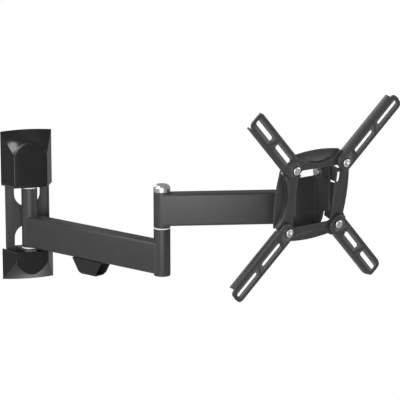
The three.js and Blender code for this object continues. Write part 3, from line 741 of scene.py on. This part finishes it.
def strut_half():
    """Rows for one half: (along, depth, across). The outline is offset inwards by the fold radius
    and the fold is a quarter circle: across grows by r sin a, depth by r (1 - cos a). The straight
    side takes the middle line's places, stretched to its own length. Past the flange's end the
    sheet stays flat. The faces across each step are left out."""
    inner = middle_stations()
    before = np.linspace(CORE_START, inner[0], END_COLUMNS + 1)[:-1]
    after = np.linspace(inner[-1], CORE_END, END_COLUMNS + 1)[1:]
    along = np.concatenate([before, inner, after])
    share = (inner - HOLES_START) / (HOLES_END - HOLES_START)
    straight = SIDE_START + (SIDE_END - SIDE_START) * share
    angle = np.radians(np.linspace(0, 90, END_COLUMNS - 1))
    low = STRUT_HALF - STRUT_CORNER

    def outline(radius):
        first = np.stack([SIDE_START - radius * np.cos(angle), low + radius * np.sin(angle)], axis=1)
        last = np.stack([SIDE_END + radius * np.sin(angle), low + radius * np.cos(angle)], axis=1)
        side = np.stack([straight, np.full(len(inner), low + radius)], axis=1)
        tips = np.array([[SIDE_START - radius, 0], [SIDE_END + radius, 0]])
        return np.concatenate([tips[:1], first, side, last, tips[1:]])

    bent, rim = outline(STRUT_CORNER - FOLD), outline(STRUT_CORNER)
    core = np.stack([along, slot_edge(along)], axis=1)
    flat = rim[:, 0] > FLANGE_END
    depth = np.where(flat, 0, np.where(rim[:, 0] < SHALLOW_END, SHALLOW, DEEP))
    rows = [np.c_[core, np.zeros(len(core))]]
    for a in np.linspace(0, np.pi / 2, 6):
        share = np.where(flat, FLAT_SHARE * a * 2 / np.pi, np.sin(a))[:, None]
        down = np.where(flat, 0, FOLD * (1 - np.cos(a)))
        rows.append(np.c_[bent + (rim - bent) * share, down])
    lip = rows[-1].copy()
    lip[:, 2] = depth
    points = np.stack([*rows, lip])[..., [0, 2, 1]]
    faces = grid(*points.shape[:2]).reshape(len(points) - 1, -1, 4)
    kept = np.ones(faces.shape[:2], bool)
    kept[1:, np.flatnonzero(flat[1:] & ~flat[:-1])] = False
    kept[-1, np.flatnonzero(np.diff(depth))] = False
    kept[-1, flat[1:]] = False
    return points, faces[kept]


def strut_surface():
    """The half and its mirror image, across to -across, with the faces' order turned round."""
    half, faces = strut_half()
    return joined((half, faces), (half * [1, 1, -1], faces[:, ::-1]))


print("an extension arm has", len(strut_surface()[1]), "faces before its thickness")

# %% Make the four extension arms
CORNERS = {"upper_right": 45, "upper_left": 135, "lower_left": 225, "lower_right": 315}
for corner, degrees in CORNERS.items():
    node = "extension_arm_" + corner
    strip = placed(strut_surface(), FACE @ turn("y", -degrees))
    add_piece(node + "_pressed", mesh_from(node, strip, closed=False), node, smooth=30,
              wall=SHEET, even=False)

# %% [markdown]
# ## The screws of the extension arms
# A button head screw has a low dome and a six sided socket. Its surface is a set of rings: each ring
# is either the hexagon or a circle, at its own height, and one closed skin joins them all.

# %% A screw with a six sided socket
# Heights count from the front of the extension arm's sheet. The head is drawn deep: it reaches through
# the arm's wide hole to the boss on the head plate.
HEAD_RADIUS, HEAD_FLAT, SHANK_RADIUS = 5.0, 3.0, 3
HEAD_TOP, DOME_DROP, HEAD_SIDE, SEAT, SHANK_END = 2.3, 1.3, 0.1, -1.9, -11.8
SOCKET_FLATS, SOCKET_FLOOR, SOCKET_BREAK = 4.0, 0.7, 0.15


def socket_screw():
    """Rings of (radius, height) from the socket's floor, up its walls, over the dome, under the head
    and down the shank. The hexagon's radius at angle a is (flats / 2) / cos(a'), with a' the angle
    from the nearest flat's middle. The dome is a quarter of an ellipse."""
    angle = np.linspace(0, 2 * np.pi, SIDES, endpoint=False)
    off = (angle + np.pi / 6) % (np.pi / 3) - np.pi / 6
    six = SOCKET_FLATS / 2 / np.cos(off)
    circle = np.ones(SIDES)
    across = np.linspace(0, 1, 8)
    floor_rings = [(share * six, SOCKET_FLOOR) for share in (0, 0.6, 0.98)]
    wall_rings = [(six, SOCKET_FLOOR + 0.1), (six, HEAD_TOP - 0.2), (six + SOCKET_BREAK, HEAD_TOP - 0.03)]
    dome_rings = [(circle * (HEAD_FLAT + (HEAD_RADIUS - HEAD_FLAT) * np.sin(t * np.pi / 2)),
                   HEAD_TOP - DOME_DROP * (1 - np.cos(t * np.pi / 2))) for t in across]
    under_rings = [(circle * HEAD_RADIUS, HEAD_SIDE), (circle * HEAD_RADIUS, SEAT),
                   (circle * SHANK_RADIUS, SEAT), (circle * SHANK_RADIUS, SHANK_END),
                   (0 * circle, SHANK_END)]
    rings = floor_rings + wall_rings + dome_rings + under_rings
    radius = np.stack([r for r, _ in rings])
    height = np.array([h for _, h in rings])[:, None] + 0 * radius
    points = np.stack([radius * np.cos(angle), -height, radius * np.sin(angle)], axis=-1)
    return points.reshape(-1, 3), grid(len(rings), SIDES, wrap_columns=True)


print("a screw has", len(socket_screw()[1]), "faces")

# %% Put in the four screws
for corner, degrees in CORNERS.items():
    node = "arm_screw_" + corner
    screw = placed(socket_screw(), FACE @ turn("y", -degrees) @ shift(SCREW_AT, 0, 0))
    add_piece(node + "_finished", mesh_from(node, screw), node, smooth=30)
